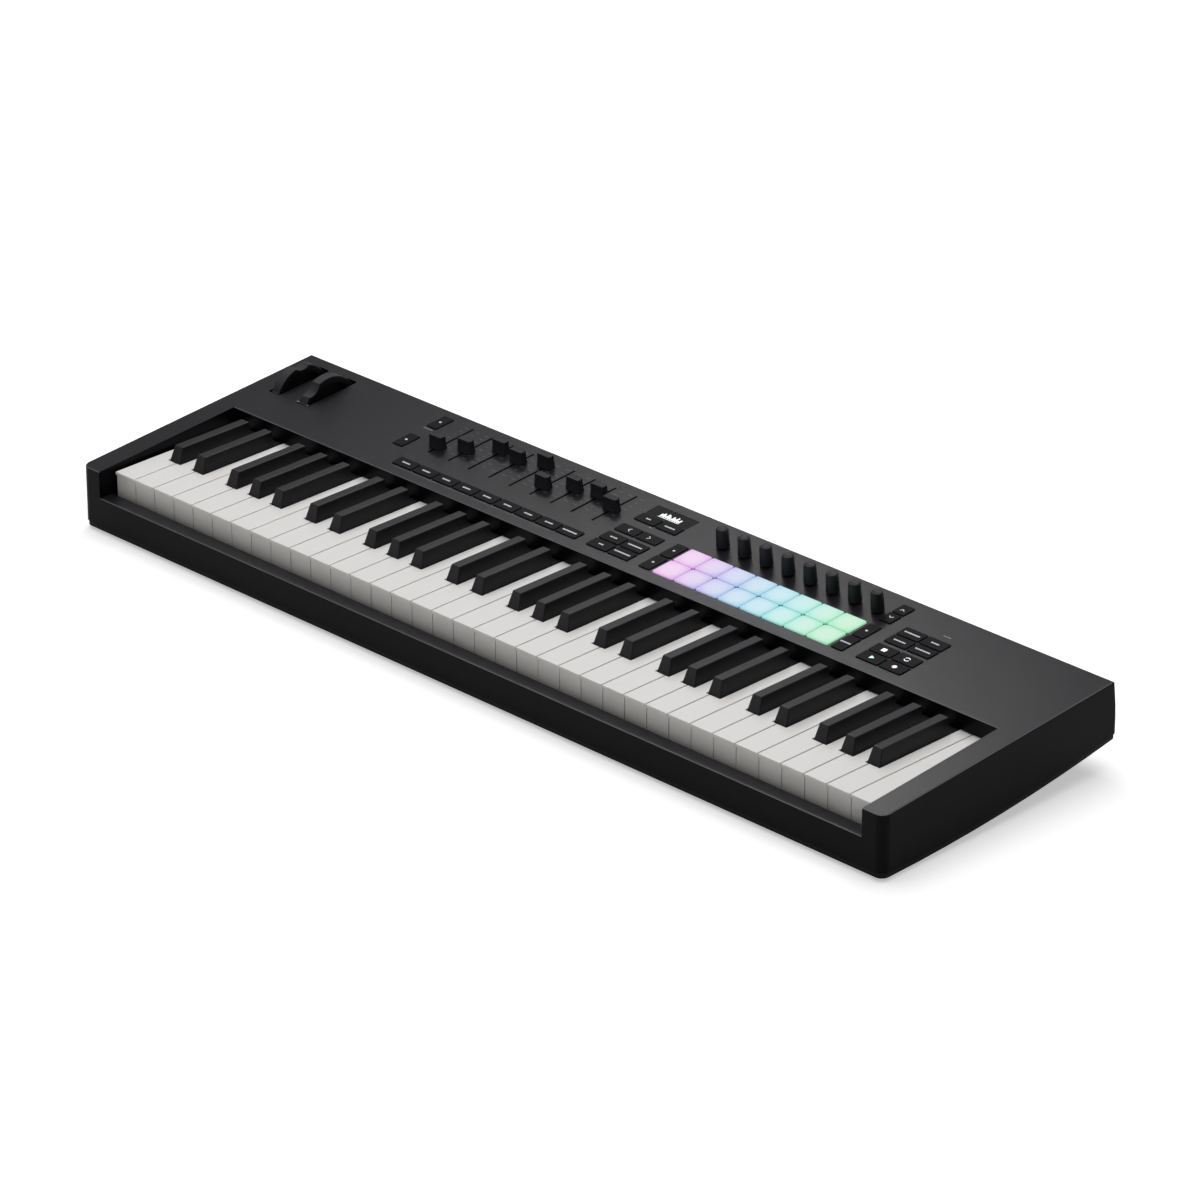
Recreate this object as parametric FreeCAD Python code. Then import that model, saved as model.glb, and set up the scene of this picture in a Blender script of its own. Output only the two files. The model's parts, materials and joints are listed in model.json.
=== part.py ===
import FreeCAD, Part
import math
import os

os.makedirs("parts", exist_ok=True)
V = FreeCAD.Vector

# A 61-key synthesizer. X runs along the keys from the low notes to the high ones, Y from the player
# to the back, Z up. The origin is the middle of the footprint, on the surface that it stands on.
# All sizes are millimetres.

# Keyboard
white_pitch = 23.5            # from one white key to the next
octaves = 5                   # with one more C at the top
key_gap = 1.0                 # between neighbouring white keys
white_length = 134.9          # visible length, from the lip to the wall behind the keys
white_top = 52.7              # height of the white tops
white_side = 18.7             # depth of a white key's side walls
skirt_depth = 26.7            # the front skirt reaches lower, behind the front rail
skin = 2.5                    # top plate of a key
key_wall = 1.5
lip = 1.5                     # the top plate stands this far in front of the skirt
black_start = 47.0            # from the lip of the white keys to the black front
black_length = 78.5
black_rise = 12.8             # black tops above the white ones
black_base = 13.2
black_crest = 9.2
black_rake = 4.5              # the black front leans back by this
black_clearance = 0.9         # from the black base to the white key beside it
pivot_reach = 23.1            # from the wall behind the keys back to the hinge rod
pivot_height = 44.0
rod_radius = 1.5
rod_clearance = 0.05
arm_height = 12.2
arm_trim = 1.5                # hinge arms are narrower than the keys on each side
key_travel = 3.6              # degrees
key_round = 0.6               # rounding of a white key's top edges
black_round = 1.1
arm_tail = 8.0                # the hinge arms end this far behind the rod
bearing_rib = 1.6             # thickness of the ribs that carry the hinge rod
felt_depth = 8.0
dome_base = 4.0               # radii and height of a contact dome
dome_tip = 2.4
dome_height = 9.0
spring_radius = 1.8
spring_bore = 1.2

# Case
cheek_width = 21.4            # solid ends beside the keys
cheek_gap = 2.6               # from the key bed's end wall to the nearest white key
front_height = 56.0
panel_slope = 4.4             # degrees, rising to the back
front_rail = 13.8             # depth of the low rail in front of the keys
rail_gap = 1.7                # from the rail to the lips of the white keys
rail_height = 32.5
panel_depth = 108.2
rear_lean = 5.4               # the foot of the back face stands behind its top edge
wall = 2.5
corner_radius = 8.0
rear_corner_radius = 4.0
belly_radius = 1534.0         # the underside is one sheet, rising to the back
belly_low = 3.0
belly_lead = 4.5              # its lowest line lies this far in front of the front face
rim_height = 4.4              # height of the bottom case's rim
rim_inset = 1.0
foot_thickness = 2.5
foot_width = 40.0
foot_depth = 18.0
pedestal_margin = 2.0         # a foot's pedestal is larger on every side
panel_round = 1.2             # rounding along the panel's edges
boss_radius = 3.5
boss_rise = 8.0               # the bosses start this far above the underside
screw_radius = 1.5
screw_head = 3.0
screw_length = 14.0

# Controls on the panel
control_pitch = 23.7
control_gap = 1.4
clearance = 0.25              # round each button and pad
group_gap = 12.5              # between blocks of controls
outer_gap = 14.1
first_row = 12.6              # from the panel's front edge to the nearest row
second_block = 44.5           # to the rows in the middle of the panel
button_rise = 1.0
button_height = 6.0
pad_rise = 1.3
pad_height = 8.0
slim_depth = 12.2             # depth of the long strip's buttons
block_row = 14.4              # from one row to the next in a block of small buttons
side_width = 12.0             # upright buttons beside the pads
side_gap = 3.4
bank_width = 11.3
bank_depth = 21.3
screen_depth = 15.8
screen_start = 80.6
knob_reach = 77.1
knob_shift = 5.0              # the knobs stand this far to the right of the pads' columns
knob_radius = 5.7
knob_taper = 0.35
knob_height = 15.7
knob_lift = 1.8
shaft_radius = 3.0
shaft_clearance = 0.05
shaft_height = 10.0
shaft_hole = 3.8
fader_travel = 45.0
fader_shift = 1.0             # the faders stand this far to the left of their buttons' middles
slot_length = 51.8
slot_start = 44.6
lever_thickness = 1.4
lever_length = 4.0
lever_clearance = 0.3
cap_width = 15.0
cap_depth = 8.6
cap_height = 13.0
cap_lift = 0.5
fader_stops = [7.8, 17.4, 34.2, 30.5, 39.0, 12.5, 24.9, 29.2, 19.4]
board_drop = 11.2             # from the panel's face down to the control board
board_thickness = 1.6
track_half = 4.0              # half width of a fader's track
track_margin = 9.0            # the track is longer than its slot
encoder_half_width = 5.8
encoder_half_depth = 6.2
dish_radius = 14.0            # two shallow dishes along the top of each fader cap
dish_depth = 0.9
dish_offset = 2.9

# Wheels at the low end
wheel_radius = 30.0
wheel_width = 9.6
wheel_rise = 15.0             # of the rim above the panel
wheel_reach = 67.3
wheel_offsets = [28.7, 62.8]  # from the low end of the case
wheel_slot_width = 13.4
wheel_slot_length = 58.5
axle_radius = 3.0
axle_clearance = 0.05
upright = 2.0
bracket_reach = 11.7          # from a wheel's middle to the outer uprights
bracket_half = 18.0           # half depth of the bracket's floor
upright_half = 7.0
tyre_width = 5.0              # of the wheel's solid rim
hub_radius = 8.0
web_half = 2.0                # half thickness of the wheel between hub and rim
scoop_radius = 12.0           # the finger scoop in a wheel's rim
scoop_depth = 3.5
scoop_turns = [0.0, 38.0]     # degrees from the top towards the player, at rest

# Sockets in the back
socket_height = 45.0
jack_radius = 3.4
jack_depth = 18.0
plug_radius = 8.2
socket_step = 5.4             # the sockets' bodies stay this far behind their faces

white_count = 7 * octaves + 1
key_span = white_count * white_pitch
bed_half = key_span / 2 + cheek_gap
half_length = bed_half + cheek_width
case_depth = front_rail + rail_gap + white_length + panel_depth + rear_lean
front_y = -case_depth / 2
key_front = front_y + front_rail + rail_gap
panel_front = key_front + white_length
panel_rear = panel_front + panel_depth
rear_foot = case_depth / 2
slope = math.radians(panel_slope)
cell = control_pitch - control_gap
key_rear = panel_front + 3.6
pivot_y = panel_front + pivot_reach
arm_end = pivot_y + arm_tail
arm_low = pivot_height - arm_height / 2
black_front = key_front + black_start
belly_y = front_y - belly_lead
side_low = white_top - white_side


def block(x0, x1, y0, y1, z0, z1):
    return Part.makeBox(x1 - x0, y1 - y0, z1 - z0, V(x0, y0, z0))


def rod(radius, x0, x1, y, z):
    return Part.makeCylinder(radius, x1 - x0, V(x0, y, z), V(1, 0, 0))


def post(radius, x, y, z0, z1):
    return Part.makeCylinder(radius, z1 - z0, V(x, y, z0))


def prism(points, z0, z1):
    corners = [V(x, y, z0) for x, y in points]
    return Part.Face(Part.makePolygon(corners + corners[:1])).extrude(V(0, 0, z1 - z0))


def rounded_block(width, depth, z0, z1, corner, edge):
    """A block about the Z axis with round upright corners and a softened top edge."""
    body = block(-width / 2, width / 2, -depth / 2, depth / 2, z0, z1)
    upright_edges = [e for e in body.Edges if abs(e.tangentAt(e.FirstParameter).z) > 0.9]
    body = body.makeFillet(corner, upright_edges)
    if edge > 0:
        body = body.makeFillet(edge, [e for e in body.Edges if e.BoundBox.ZMin > z1 - 0.01])
    return body


def fuse(shapes):
    whole = shapes[0].multiFuse(shapes[1:]) if len(shapes) > 1 else shapes[0]
    return whole.removeSplitter()


def panel_z(y):
    return front_height + (y - front_y) * math.tan(slope)


def on_panel(shape, x, reach):
    """Moves a shape built about the origin, with the panel's face at Z 0, to its place on the panel."""
    placed = shape.copy()
    placed.rotate(V(0, 0, 0), V(1, 0, 0), panel_slope)
    y = panel_front + reach
    placed.translate(V(x, y, panel_z(y)))
    return placed


def belly_z(y):
    return belly_low + belly_radius - math.sqrt(belly_radius ** 2 - (y - belly_y) ** 2)


def belly_edge(y0, y1, lift):
    """The underside's arc from y0 to y1, raised by lift."""
    middle = (y0 + y1) / 2
    points = [V(0, y, belly_z(y) + lift) for y in (y0, middle, y1)]
    return Part.Arc(*points).toShape()


def along_x(edges, half):
    """A closed outline of edges in the YZ plane, drawn out to both sides of the middle."""
    face = Part.Face(Part.Wire(edges))
    face.translate(V(-half, 0, 0))
    return face.extrude(V(2 * half, 0, 0))


def belly_prism(y0, y1, low_lift, high_z, half):
    """A solid from the underside's arc, raised by low_lift, up to the level high_z."""
    corners = [V(0, y1, belly_z(y1) + low_lift), V(0, y1, high_z), V(0, y0, high_z),
               V(0, y0, belly_z(y0) + low_lift)]
    edges = [belly_edge(y0, y1, low_lift)]
    edges += [Part.makeLine(a, b) for a, b in zip(corners, corners[1:])]
    return along_x(edges, half)


def plan_prism(inset, low, high):
    """The case's outline from above: large round corners in front, small ones at the back."""
    body = block(-half_length + inset, half_length - inset, front_y + inset, rear_foot - inset, low, high)
    uprights = [e for e in body.Edges if abs(e.tangentAt(e.FirstParameter).z) > 0.9]
    front = [e for e in uprights if e.BoundBox.YMax < 0]
    body = body.makeFillet(corner_radius - inset, front)
    uprights = [e for e in body.Edges if abs(e.tangentAt(e.FirstParameter).z) > 0.9]
    back = [e for e in uprights if e.BoundBox.YMin > rear_foot - inset - 0.01]
    return body.makeFillet(rear_corner_radius - inset, back)


def save(name, solids):
    shape = solids if isinstance(solids, Part.Shape) else Part.makeCompound(solids)
    for solid in shape.Solids:
        if not solid.isValid() or solid.Volume <= 0:
            raise ValueError(name + " has a bad solid")
    shape.exportStep("parts/" + name + ".step")
    print(name, len(shape.Solids), "solids", round(shape.Volume / 1000, 1), "cm3")


# Layout of the controls. Each place is (x, reach), with reach from the panel's front edge.

def grid(x, columns, reach, rows, row_pitch):
    first = x - (columns - 1) * control_pitch / 2
    return [(first + i * control_pitch, reach + j * row_pitch) for j in range(rows) for i in range(columns)]


pair_half = cell + control_gap / 2
fader_x = [-pair_half - group_gap - cell / 2 - (8 - i) * control_pitch for i in range(9)]
slot_x = [x - fader_shift for x in fader_x]
bank_x = fader_x[0] - cell / 2 - outer_gap - bank_width / 2
pad_left = pair_half + group_gap + side_width + side_gap
pad_middle = pad_left + 4 * control_pitch - control_gap / 2
pad_right = pad_left + 8 * control_pitch - control_gap
side_x = [pad_left - side_gap - side_width / 2, pad_right + side_gap + side_width / 2]
right_block_x = side_x[1] + side_width / 2 + outer_gap + pair_half
small_depth = block_row - control_gap
slot_middle = slot_start + slot_length / 2
bank_reach = [slot_start + 3.7, slot_start + 42.7]
encoder_bank_reach = [knob_reach - 2.8, knob_reach + 12.8]
encoder_bank_depth = 14.2
screen_button_reach = screen_start - control_gap - slim_depth / 2
pad_rows = [first_row + cell / 2, first_row + cell / 2 + control_pitch]
board_low_x = bank_x - bank_width / 2 - 4.0
board_high_x = right_block_x + pair_half + 4.0
board_front = 4.2
board_rear = panel_depth - 4.0

button_groups = {
    "bank_buttons": [(bank_width, bank_depth, [(bank_x, r) for r in bank_reach]),
                     (side_width, encoder_bank_depth, [(side_x[1], r) for r in encoder_bank_reach])],
    "fader_row_buttons": [(cell, slim_depth, [(x, first_row + slim_depth / 2) for x in fader_x])],
    "screen_buttons": [(cell, slim_depth, grid(0, 2, screen_button_reach, 1, 0))],
    "track_buttons": [(cell, slim_depth, grid(0, 2, second_block + slim_depth / 2, 1, 0))],
    "mode_buttons": [(cell, small_depth, grid(0, 2, first_row + small_depth / 2, 2, block_row))],
    "pad_side_buttons": [(side_width, cell, [(x, r) for x in side_x for r in pad_rows])],
    "function_buttons": [(cell, small_depth,
                          grid(right_block_x, 2, second_block + small_depth / 2, 2, block_row))],
    "transport_buttons": [(cell, small_depth,
                           grid(right_block_x, 2, first_row + small_depth / 2, 2, block_row))],
}
pad_places = grid(pad_middle, 8, pad_rows[0], 2, control_pitch)
knob_places = grid(pad_middle + knob_shift, 8, knob_reach, 1, 0)
wheel_x = [-half_length + offset for offset in wheel_offsets]
wheel_y = panel_front + wheel_reach
wheel_z = panel_z(wheel_y) + wheel_rise - wheel_radius
foot_places = [(x * side, y) for y in (front_y + 24.0, rear_foot - 32.0)
               for x in (half_length - 67.0, 130.0) for side in (-1, 1)]
screw_places = [(side * (bed_half + cheek_width / 2), y) for side in (-1, 1)
                for y in (front_y + 22.0, 0.0, rear_foot - 30.0)]
screw_places += [(side * x, y) for side in (-1, 1) for x in (85.0, 250.0)
                 for y in (front_y + 7.0, rear_foot - 10.5)]
board_post_x = [board_low_x + 14.0 + i * (board_high_x - board_low_x - 28.0) / 5 for i in range(6)]
jack_x, midi_x, usb_x = -half_length + 100.0, -half_length + 128.0, -half_length + 154.0
tray_step = key_front + 94.5
tray_rear = arm_end + 4.5
rail_top = 22.0
felt_thickness = 2.9
front_floor = 12.0
rear_floor = 20.0
felt_y = key_front + 17.5
board_top_z = 21.6


# Keys

def white_outline(centre, left_black, right_black, start, inset):
    """Outline of a white key from above; left_black and right_black are the black keys' middles or None."""
    head = (white_pitch - key_gap) / 2
    notch = black_front - black_clearance - inset
    rear = key_rear - inset
    side = black_base / 2 + black_clearance
    tail = [-head, head]
    if left_black is not None:
        tail[0] = left_black - centre + side
    if right_black is not None:
        tail[1] = right_black - centre - side
    points = [(-head + inset, start), (head - inset, start)]
    if right_black is not None:
        points += [(head - inset, notch), (tail[1] - inset, notch)]
    points += [(tail[1] - inset, rear), (tail[0] + inset, rear)]
    if left_black is not None:
        points += [(tail[0] + inset, notch), (-head + inset, notch)]
    return [(centre + x, y) for x, y in points], centre + tail[0], centre + tail[1]


def hinge_arm(x0, x1):
    return block(x0 + arm_trim, x1 - arm_trim, key_rear - 6.0, arm_end, arm_low, arm_low + arm_height)


def white_key(centre, left_black, right_black):
    plate_points, tail0, tail1 = white_outline(centre, left_black, right_black, key_front, 0)
    plate = prism(plate_points, white_top - skin, white_top)
    rim = [e for e in plate.Edges if e.BoundBox.ZMin > white_top - 0.01 and e.BoundBox.YMin < key_rear - 0.1]
    plate = plate.makeFillet(key_round, rim)
    body_points = white_outline(centre, left_black, right_black, key_front + lip, 0)[0]
    body = prism(body_points, side_low, white_top - skin)
    pocket_points = white_outline(centre, left_black, right_black, key_front + lip + key_wall, key_wall)[0]
    pocket = prism(pocket_points, side_low - 1, white_top - skin)
    head = (white_pitch - key_gap) / 2
    skirt = block(centre - head, centre + head, key_front + lip, key_front + lip + key_wall,
                  white_top - skirt_depth, white_top - skin)
    whole = fuse([plate, body.cut(pocket), skirt, hinge_arm(tail0, tail1)])
    return whole.cut(rod(rod_radius + rod_clearance, tail0, tail1, pivot_y, pivot_height))


def black_key(centre):
    cap_low = white_top - 0.5
    rear = black_front + black_length
    half, crest = black_base / 2, black_crest / 2
    top = white_top + black_rise

    def ring(half_width, y0, z):
        corners = [V(centre - half_width, y0, z), V(centre + half_width, y0, z),
                   V(centre + half_width, rear, z), V(centre - half_width, rear, z)]
        return Part.makePolygon(corners + corners[:1])

    cap = Part.makeLoft([ring(half, black_front, cap_low), ring(crest, black_front + black_rake, top)],
                        True, True)
    soft = [e for e in cap.Edges if e.BoundBox.ZMax > cap_low + 0.1 and e.BoundBox.YMin < rear - 0.1]
    cap = cap.makeFillet(black_round, soft)
    body_half = half - 0.3
    body = block(centre - body_half, centre + body_half, black_front + 0.8, key_rear, side_low + 2, cap_low)
    pocket = block(centre - body_half + key_wall, centre + body_half - key_wall,
                   black_front + 0.8 + key_wall, key_rear - key_wall, side_low + 1, cap_low - skin)
    whole = fuse([cap, body.cut(pocket), hinge_arm(centre - half, centre + half)])
    return whole.cut(rod(rod_radius + rod_clearance, centre - half, centre + half, pivot_y, pivot_height))


white_names = ["c", "d", "e", "f", "g", "a", "b"]
black_shift = {"c_sharp": -2.4, "d_sharp": 2.4, "f_sharp": -3.6, "g_sharp": 0.0, "a_sharp": 3.6}


def white_centre(index):
    return (index + 0.5) * white_pitch - key_span / 2


def black_centre(index):
    """Middle of the black key to the right of white key number index, or None where there is none."""
    name = white_names[index % 7] + "_sharp"
    if name not in black_shift or index < 0 or index >= white_count - 1:
        return None
    return white_centre(index) + white_pitch / 2 + black_shift[name]


arm_middles = []
octave_shift = V(7 * white_pitch, 0, 0)
for index, name in enumerate(white_names):
    centre = white_centre(index)
    left, right = black_centre(index - 1), black_centre(index)
    first = white_key(centre, left, right)
    keys = [first.translated(octave_shift * i) for i in range(octaves)]
    if name == "c":
        keys.append(white_key(white_centre(white_count - 1), None, None))
    save("key_" + name, keys)
    if right is not None:
        first = black_key(right)
        save("key_" + name + "_sharp", [first.translated(octave_shift * i) for i in range(octaves)])

for index in range(white_count):
    outline = white_outline(white_centre(index), black_centre(index - 1), black_centre(index), key_front, 0)
    arm_middles.append((outline[1] + outline[2]) / 2)
    if black_centre(index) is not None:
        arm_middles.append(black_centre(index))

# Key bed: a stepped tray with bearing ribs for the hinge rod and a rail that stops the keys
tray_half = key_span / 2 + 1.0
rib_x = [white_centre(i) + white_pitch / 2 for i in range(white_count - 1) if black_centre(i) is None]
rib_x += [-key_span / 2 + 0.2, key_span / 2 - 0.2]
chassis = [block(-tray_half, tray_half, key_front + 4.0, tray_step, front_floor - 2, front_floor),
           block(-tray_half, tray_half, tray_step - 2, tray_step, front_floor - 2, rear_floor),
           block(-tray_half, tray_half, tray_step - 2, tray_rear, rear_floor - 2, rear_floor),
           block(-tray_half, tray_half, felt_y, felt_y + felt_depth, front_floor - 1, rail_top)]
chassis += [block(x - bearing_rib / 2, x + bearing_rib / 2, pivot_y - 7.5, pivot_y + 8.5, rear_floor - 1,
                  pivot_height + 5) for x in rib_x]
chassis = fuse(chassis)
chassis = chassis.cut(rod(rod_radius + 0.02, -tray_half, tray_half, pivot_y, pivot_height))
save("key_chassis", chassis)
save("key_pivot_rod", rod(rod_radius, -tray_half, tray_half, pivot_y, pivot_height))
save("key_stop_felt", block(-tray_half, tray_half, felt_y, felt_y + felt_depth, rail_top,
                            rail_top + felt_thickness))

contact_front = tray_step + 2.0
contact_y = contact_front + 17.0
board = block(-tray_half + 2, tray_half - 2, contact_front, contact_front + 34, rear_floor, board_top_z)
domes = [Part.makeCone(dome_base, dome_tip, dome_height, V(x, contact_y, board_top_z)) for x in arm_middles]
save("key_contact_board", [board] + domes)
spring_y = arm_end - 3.5
springs = []
for x in arm_middles:
    tube = post(spring_radius, x, spring_y, rear_floor, arm_low)
    springs.append(tube.cut(post(spring_bore, x, spring_y, rear_floor, arm_low)))
save("key_springs", springs)

# Top case: one sloping shell, open below, cut away above the keys
high = 200.0
rear_slope = rear_lean / (panel_z(panel_rear) - belly_z(rear_foot) - rim_height)


def rear_y(z):
    return panel_rear + (panel_z(panel_rear) - z) * rear_slope


def shell_profile(inset, low_lift):
    """The case's side outline, inset from its front, top and back faces."""
    y0, y1 = front_y + inset, rear_foot - inset
    z1 = belly_z(y1) + low_lift
    top_y = rear_y(panel_z(panel_rear)) - inset
    corners = [V(0, y1, z1), V(0, top_y, panel_z(top_y) - inset), V(0, y0, panel_z(y0) - inset),
               V(0, y0, belly_z(y0) + low_lift)]
    return [belly_edge(y0, y1, low_lift)] + [Part.makeLine(a, b) for a, b in zip(corners, corners[1:])]


outer = along_x(shell_profile(0, rim_height), half_length)
outer = outer.common(plan_prism(0, -10, high))
panel_edges = [e for e in outer.Edges
               if abs(e.Vertexes[0].Z - panel_z(e.Vertexes[0].Y)) < 0.01
               and abs(e.Vertexes[-1].Z - panel_z(e.Vertexes[-1].Y)) < 0.01]
outer = outer.makeFillet(panel_round, panel_edges)
hollow = along_x(shell_profile(wall, rim_height - 5), half_length - wall)
shell = outer.cut(hollow)
bed_low = belly_z(front_y) + rim_height + 1.0
bed_walls = []
for side in (-1, 1):
    x0, x1 = sorted((side * bed_half, side * (bed_half + wall)))
    wall_block = block(x0, x1, front_y + wall - 0.5, panel_front + wall, bed_low, high)
    bed_walls.append(wall_block.common(outer))
back_of_keys = block(-bed_half - wall, bed_half + wall, panel_front, panel_front + wall,
                     white_top + 1.0, high).common(outer)
rail_back = front_y + front_rail
rail_plate = block(-bed_half - 0.5, bed_half + 0.5, front_y + 0.5, rail_back, rail_height - wall, rail_height)
rail_hem = block(-bed_half - 0.5, bed_half + 0.5, rail_back - 2.0, rail_back, rail_height - 10.0, rail_height)
shell = fuse([shell] + bed_walls + [back_of_keys])
mouth = block(-bed_half, bed_half, front_y - 1, panel_front, rail_height, high)
shell = fuse([shell.cut(mouth), rail_plate, rail_hem])


def edge_at(shape, y, z):
    """The long straight edge along X through the point (y, z)."""
    return [e for e in shape.Edges if e.BoundBox.XLength > key_span
            and abs(e.BoundBox.YMin - y) < 0.02 and abs(e.BoundBox.YMax - y) < 0.02
            and abs(e.BoundBox.ZMin - z) < 0.02 and abs(e.BoundBox.ZMax - z) < 0.02]


soft_edges = edge_at(shell, front_y, rail_height) + edge_at(shell, panel_front, panel_z(panel_front))
shell = shell.makeFillet(panel_round, soft_edges)


def opening(width, depth, corner, gap):
    return rounded_block(width + 2 * gap, depth + 2 * gap, -2 * wall, 2 * wall, corner, 0)


cutters = []
for groups in button_groups.values():
    for width, depth, places in groups:
        hole = opening(width, depth, 1.3, clearance)
        cutters += [on_panel(hole, x, reach) for x, reach in places]
pad_hole = opening(cell, cell, 1.8, clearance)
cutters += [on_panel(pad_hole, x, reach) for x, reach in pad_places]
slot = opening(lever_thickness, slot_length, 0.5, lever_clearance)
cutters += [on_panel(slot, x, slot_middle) for x in slot_x]
cutters += [on_panel(post(shaft_hole, 0, 0, -2 * wall, 2 * wall), x, reach) for x, reach in knob_places]
window = opening(2 * pair_half, screen_depth, 1.0, 0.15)
cutters.append(on_panel(window, 0, screen_start + screen_depth / 2))
wheel_slot = opening(wheel_slot_width, wheel_slot_length, 2.0, 0)
cutters += [on_panel(wheel_slot, x, wheel_reach) for x in wheel_x]
socket_cut_y = rear_y(socket_height) - 3 * wall
for x, radius in ((jack_x, 6.0), (midi_x, plug_radius)):
    cutters.append(Part.makeCylinder(radius + clearance, 6 * wall, V(x, socket_cut_y, socket_height),
                                     V(0, 1, 0)))
usb_half, usb_rise = 5.2, 2.4
cutters.append(block(usb_x - usb_half - clearance, usb_x + usb_half + clearance, socket_cut_y,
                     socket_cut_y + 6 * wall, socket_height - usb_rise - clearance,
                     socket_height + usb_rise + clearance))
cutters.append(block(half_length - 60.0, half_length - 53.0, socket_cut_y, socket_cut_y + 6 * wall,
                     socket_height - 1.6, socket_height + 1.6))
shell = shell.cut(Part.makeCompound(cutters))

board_posts = [on_panel(post(2.5, 0, 0, -board_drop, -wall + 0.5), x, reach)
               for x in board_post_x for reach in (board_front + 3.2, board_rear - 2.4)]
bosses = []
pilots = []
for x, y in screw_places:
    low = belly_z(y) + boss_rise
    in_cheek = abs(x) > bed_half
    if in_cheek:
        boss_top = panel_z(y) - 1.0
    elif y < 0:
        boss_top = rail_height - 1.0
    else:
        boss_top = low + 20.0
        bosses.append(block(x - 2.0, x + 2.0, y, rear_y(low) - 1.0, low + 1.0, boss_top))
    bosses.append(post(boss_radius, x, y, low, boss_top))
    pilots.append(post(1.55, x, y, low - 1, low + 13.0))
shell = fuse([shell] + board_posts + bosses)
shell = shell.cut(Part.makeCompound(pilots))
# The moulding is divided where the two cheeks and the front rail leave the panel, so each has a simple form
beyond = 5.0
ends = [(-half_length - beyond, -bed_half), (-bed_half, bed_half), (bed_half, half_length + beyond)]
regions = [block(x0, x1, front_y - beyond, panel_front, -beyond, high) for x0, x1 in ends]
regions.append(block(-half_length - beyond, half_length + beyond, panel_front, rear_foot + beyond,
                     -beyond, high))
save("top_case", [solid for region in regions for solid in shell.common(region).Solids])

# Bottom case: the curved sheet with a rim, foot pedestals, screw bosses and posts
tray_outer = belly_prism(front_y - 2, rear_foot + 2, 0, 60.0, half_length)
tray_outer = tray_outer.common(plan_prism(rim_inset, -10, 80))
above_rim = belly_prism(front_y - 5, rear_foot + 5, rim_height, 90.0, half_length + 5)
room_inset = rim_inset + wall
tray_room = belly_prism(front_y + room_inset, rear_foot - room_inset, wall, 90.0, half_length - room_inset)
sheet = tray_outer.cut(above_rim).cut(tray_room)
additions = []
for x, y in foot_places:
    foot = rounded_block(foot_width + 2 * pedestal_margin, foot_depth + 2 * pedestal_margin, foot_thickness,
                         belly_z(y) + wall, 8.0, 0)
    additions.append(foot.translated(V(x, y, 0)))
removals = []
for x, y in screw_places:
    additions.append(post(4.2, x, y, belly_z(y) + 1.0, belly_z(y) + boss_rise))
    removals.append(post(1.7, x, y, belly_z(y) - 4, belly_z(y) + boss_rise + 1))
    removals.append(post(3.2, x, y, belly_z(y) - 4, belly_z(y) + 3.5))
support_x = [i * key_span / 5 for i in (-2.4, -1.2, 0, 1.2, 2.4)]
for x in support_x:
    additions.append(post(6.0, x, key_front + 42.0, belly_z(key_front + 42.0) + 1, front_floor - 2))
    additions.append(post(6.0, x, panel_front + 8.0, belly_z(panel_front + 8.0) + 1, rear_floor - 2))
bracket_low = belly_z(wheel_y + bracket_half) + wall + 0.6
bracket_floor = bracket_low + 2.0
for x in (wheel_x[0] - 8.0, wheel_x[1] + 8.0):
    for y in (wheel_y - 14.0, wheel_y + 14.0):
        additions.append(post(3.0, x, y, belly_z(y) + 1, bracket_low))
socket_y0 = rear_y(socket_height) - 20.0
for x, low in ((jack_x, 8.0), (midi_x, 9.5), (usb_x, usb_rise)):
    additions.append(block(x - 4.0, x + 4.0, socket_y0 + 2.0, socket_y0 + 14.0, belly_z(socket_y0) + 1,
                           socket_height - low))
sheet = fuse([sheet] + additions).cut(Part.makeCompound(removals))
save("bottom_case", sheet)
save("rubber_feet", [rounded_block(foot_width, foot_depth, 0, foot_thickness, 7.0, 0).translated(V(x, y, 0))
                     for x, y in foot_places])
screws = []
for x, y in screw_places:
    seat = belly_z(y) + 3.5
    shank = post(screw_radius, x, y, seat, seat + screw_length)
    screws.append(post(screw_head, x, y, seat - 1.8, seat).fuse(shank).removeSplitter())
save("case_screws", screws)

# Buttons and pads
for name, groups in button_groups.items():
    caps = []
    for width, depth, places in groups:
        cap = rounded_block(width, depth, button_rise - button_height, button_rise, 1.1, 0.35)
        caps += [on_panel(cap, x, reach) for x, reach in places]
    save(name, caps)
pad = rounded_block(cell, cell, pad_rise - pad_height, pad_rise, 1.6, 0.6)
for node in range(4):
    members = [place for i, place in enumerate(pad_places) if (i % 8) % 2 + 2 * (i // 8) == node]
    save("pads_" + "abcd"[node], [on_panel(pad, x, reach) for x, reach in members])

# Screen: a glass plate flush in its window, over the display's body
glass = rounded_block(2 * pair_half, screen_depth, -wall, -0.15, 0.85, 0)
body = block(-pair_half + 2, pair_half - 2, -screen_depth / 2 + 1, screen_depth / 2 - 1, -board_drop, -wall)
save("screen", [on_panel(glass, 0, screen_start + screen_depth / 2),
                on_panel(body, 0, screen_start + screen_depth / 2)])

# Faders: fixed tracks under the panel, and caps whose levers pass through the slots
track_depth = slot_length + track_margin
track = block(-track_half, track_half, -track_depth / 2, track_depth / 2, -board_drop, -wall - 0.4)
groove_half = lever_thickness / 2 + lever_clearance
track = track.cut(block(-groove_half, groove_half, -slot_length / 2, slot_length / 2, -board_drop + 1.5, 0))
save("fader_tracks", [on_panel(track, x, slot_middle) for x in slot_x])


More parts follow.
